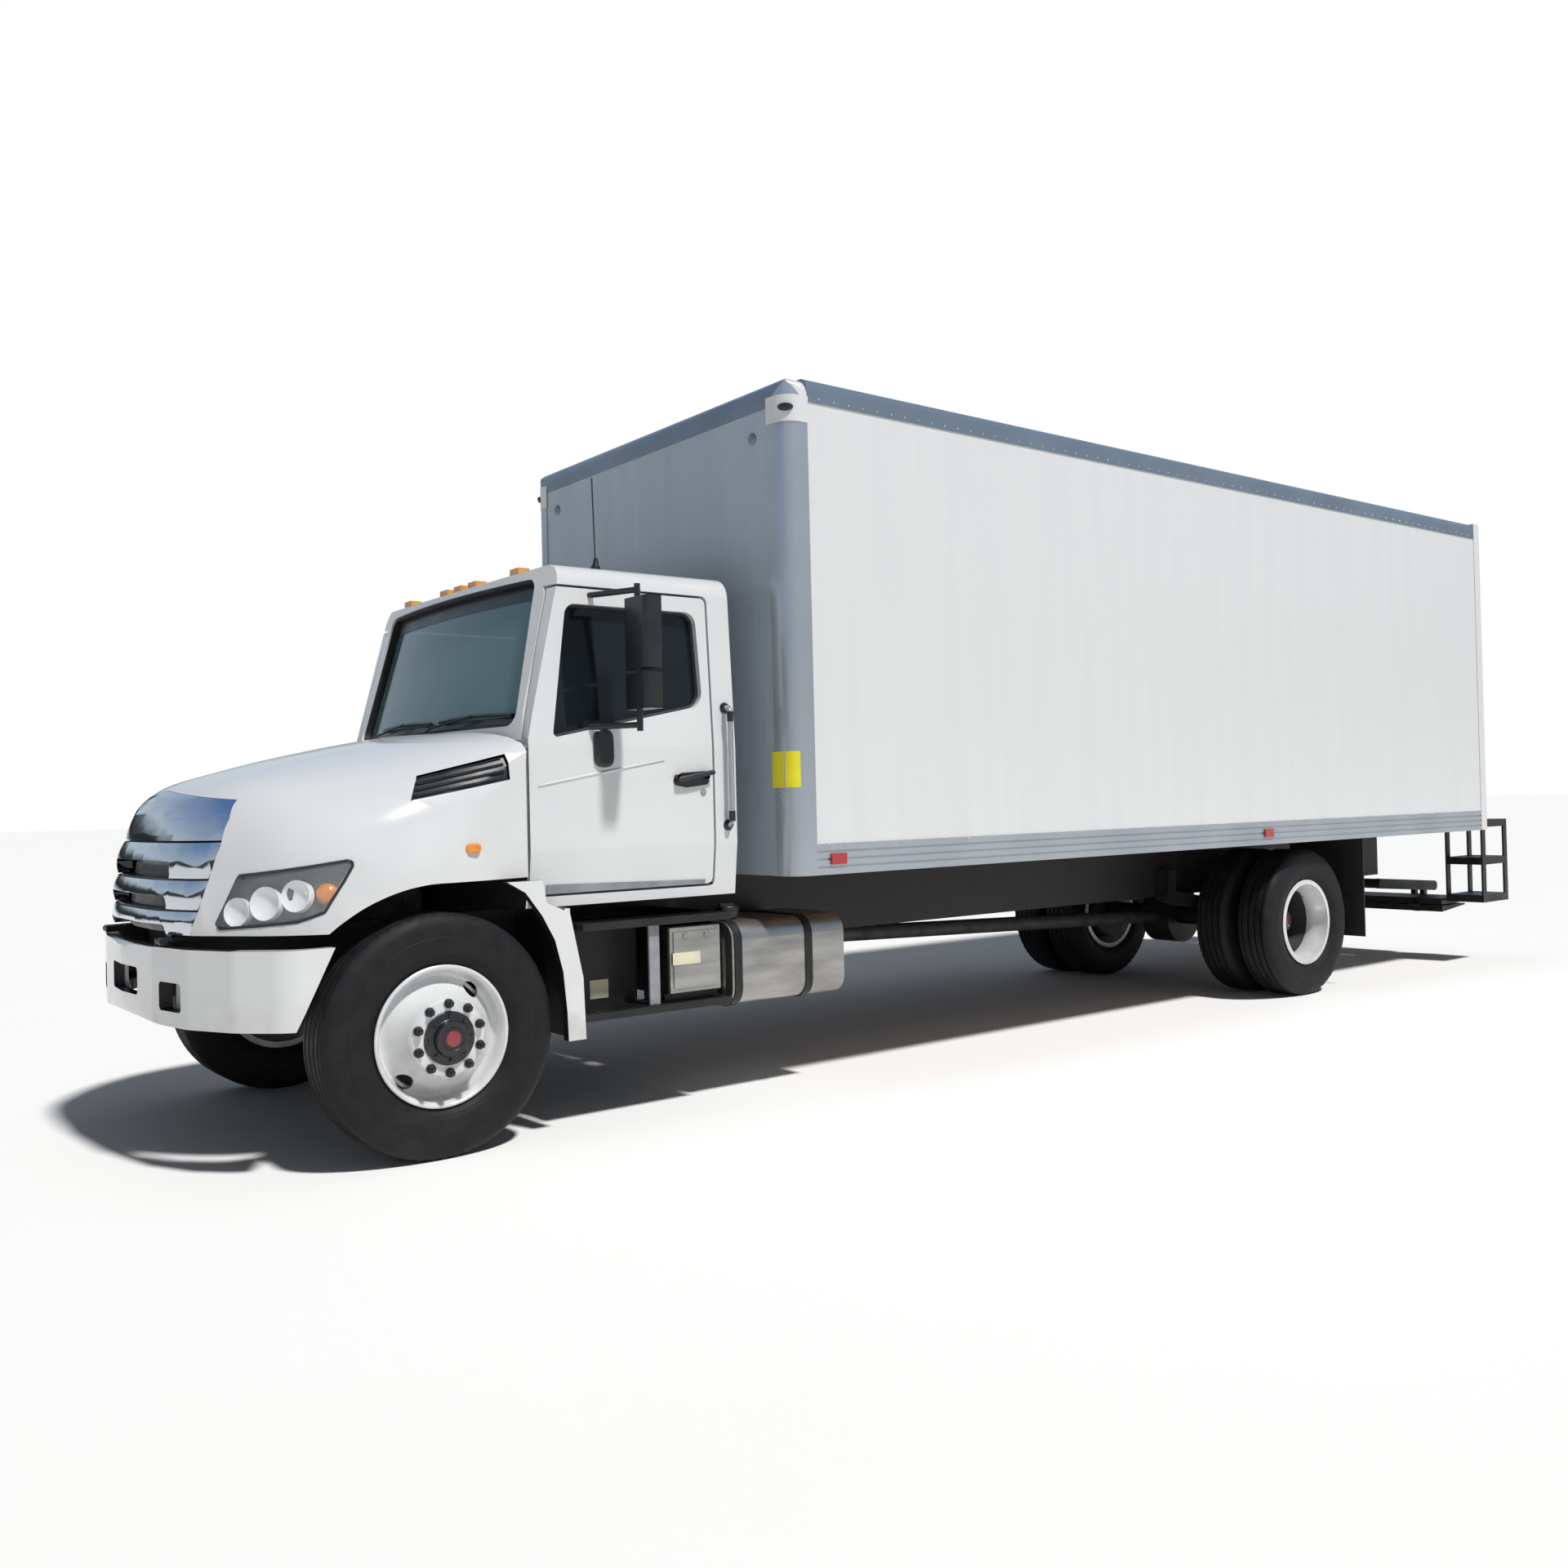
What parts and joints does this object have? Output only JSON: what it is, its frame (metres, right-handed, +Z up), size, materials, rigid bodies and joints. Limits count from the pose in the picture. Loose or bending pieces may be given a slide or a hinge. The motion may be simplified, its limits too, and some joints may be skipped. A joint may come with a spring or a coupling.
{
  "type": "box truck",
  "caption": "Conventional-cab box truck with a tilting hood, opening doors, steered front wheels, twin rear wheels, a van body with a roll-up door and a folding liftgate.",
  "frame": {"origin": "on the ground at the middle of the outline", "axes": "+X forward, +Y to the driver's side, +Z up"},
  "size_m": [10.56, 2.76, 3.62],
  "materials": {
    "chassis_black": "satin black",
    "cast_grey": "dull cast grey",
    "white_paint": "gloss white",
    "panel_white": "semi-gloss white",
    "aluminium_rail": "mill finish",
    "tank_metal": "brushed",
    "tyre_rubber": "matt black",
    "wheel_white": "gloss white",
    "tinted_glass": "clear, slightly tinted",
    "interior_plastic": "matt grey",
    "seat_cloth": "woven grey",
    "chrome_trim": "bright",
    "lamp_clear": "clear lens",
    "lamp_amber": "amber and red lens",
    "black_plastic": "matt black",
    "plank_wood": "oiled planks",
    "flap_rubber": "matt black"
  },
  "bodies": {
    "chassis": {"frame_rails": "chassis_black", "powertrain": "cast_grey", "front_axle": "chassis_black", "rear_axle": "chassis_black", "fuel_tank": "tank_metal", "tank_straps": "chassis_black", "side_steps": "chassis_black", "front_bumper": "white_paint", "fender_strips": "white_paint", "mudflaps": "flap_rubber", "cab_floor": "white_paint", "cab_back": "white_paint", "cab_roof": "white_paint", "cab_front": "white_paint", "cab_glass": "tinted_glass", "dashboard": "interior_plastic", "seats": "seat_cloth", "box_floor": "plank_wood", "box_side_left": "panel_white", "box_side_right": "panel_white", "box_front_wall": "panel_white", "box_roof": "panel_white", "box_rails": "aluminium_rail", "box_front_frame": "aluminium_rail", "rear_frame": "panel_white", "rollup_door": "panel_white", "liftgate_frame": "chassis_black", "marker_lamps": "lamp_amber"},
    "knuckle_left": {"knuckle_left": "chassis_black"},
    "knuckle_right": {"knuckle_right": "chassis_black"},
    "tie_rod": {"tie_rod": "chassis_black"},
    "wheel_fl": {"wheel_front_left": "wheel_white", "tyre_front_left": "tyre_rubber"},
    "wheel_fr": {"wheel_front_right": "wheel_white", "tyre_front_right": "tyre_rubber"},
    "wheel_rl": {"wheel_rear_left": "wheel_white", "tyres_rear_left": "tyre_rubber"},
    "wheel_rr": {"wheel_rear_right": "wheel_white", "tyres_rear_right": "tyre_rubber"},
    "door_left": {"door_left": "white_paint", "door_glass_left": "tinted_glass", "mirror_left": "black_plastic"},
    "door_right": {"door_right": "white_paint", "door_glass_right": "tinted_glass", "mirror_right": "black_plastic"},
    "hood": {"hood": "white_paint", "grille": "chrome_trim", "grille_screen": "black_plastic", "headlamps": "lamp_clear", "hood_hinge": "chassis_black"},
    "lift_arms": {"lift_arms": "chassis_black"},
    "lift_carrier": {"lift_carrier": "chassis_black"},
    "lift_platform": {"lift_platform": "chassis_black"},
    "lift_ramp": {"lift_ramp": "chassis_black"}
  },
  "joints": [
    {"name": "steer_left", "type": "hinge", "parent": "chassis", "child": "knuckle_left", "pos_m": [4.28, 0.89, 0.522], "axis": [0, 0, 1], "range_deg": [-40, 40]},
    {"name": "steer_right", "type": "hinge", "parent": "chassis", "child": "knuckle_right", "pos_m": [4.28, -0.89, 0.522], "axis": [0, 0, 1], "range_deg": [-40, 40]},
    {"name": "tie_rod_ball", "type": "hinge", "parent": "knuckle_left", "child": "tie_rod", "pos_m": [4.12, 0.89, 0.387], "axis": [0, 0, 1], "range_deg": [-40, 40]},
    {"name": "wheel_fl_spin", "type": "hinge", "parent": "knuckle_left", "child": "wheel_fl", "pos_m": [4.28, 1.02, 0.522], "axis": [0, 1, 0], "continuous": true},
    {"name": "wheel_fr_spin", "type": "hinge", "parent": "knuckle_right", "child": "wheel_fr", "pos_m": [4.28, -1.02, 0.522], "axis": [0, 1, 0], "continuous": true},
    {"name": "wheel_rl_spin", "type": "hinge", "parent": "chassis", "child": "wheel_rl", "pos_m": [-2.32, 0.8795, 0.522], "axis": [0, 1, 0], "continuous": true},
    {"name": "wheel_rr_spin", "type": "hinge", "parent": "chassis", "child": "wheel_rr", "pos_m": [-2.32, -0.8795, 0.522], "axis": [0, 1, 0], "continuous": true},
    {"name": "door_left_swing", "type": "hinge", "parent": "chassis", "child": "door_left", "pos_m": [3.785, 1.035, 1.09], "axis": [0, 0, -1], "range_deg": [0, 70]},
    {"name": "door_right_swing", "type": "hinge", "parent": "chassis", "child": "door_right", "pos_m": [3.785, -1.035, 1.09], "axis": [0, 0, 1], "range_deg": [0, 70]},
    {"name": "hood_tilt", "type": "hinge", "parent": "chassis", "child": "hood", "pos_m": [5.23, 0, 0.957], "axis": [0, 1, 0], "range_deg": [0, 70]},
    {"name": "lift_raise", "type": "hinge", "parent": "chassis", "child": "lift_arms", "pos_m": [-4.34, 0, 0.665], "axis": [0, -1, 0], "range_deg": [0, 27.3]},
    {"name": "lift_level", "type": "hinge", "parent": "lift_arms", "child": "lift_carrier", "pos_m": [-5.23765, 0, 0.6], "axis": [0, -1, 0], "range_deg": [-27.8, 0.5]},
    {"name": "platform_fold", "type": "hinge", "parent": "lift_carrier", "child": "lift_platform", "pos_m": [-5.23765, 0, 0.5], "axis": [0, 1, 0], "range_deg": [0, 180]},
    {"name": "ramp_fold", "type": "hinge", "parent": "lift_platform", "child": "lift_ramp", "pos_m": [-4.77665, 0, 0.468], "axis": [0, -1, 0], "range_deg": [0, 180]}
  ],
  "couplings": [
    {"joint": "steer_right", "follows": "steer_left", "ratio": 1},
    {"joint": "tie_rod_ball", "follows": "steer_left", "ratio": -1},
    {"joint": "lift_level", "follows": "lift_raise", "ratio": -1}
  ]
}
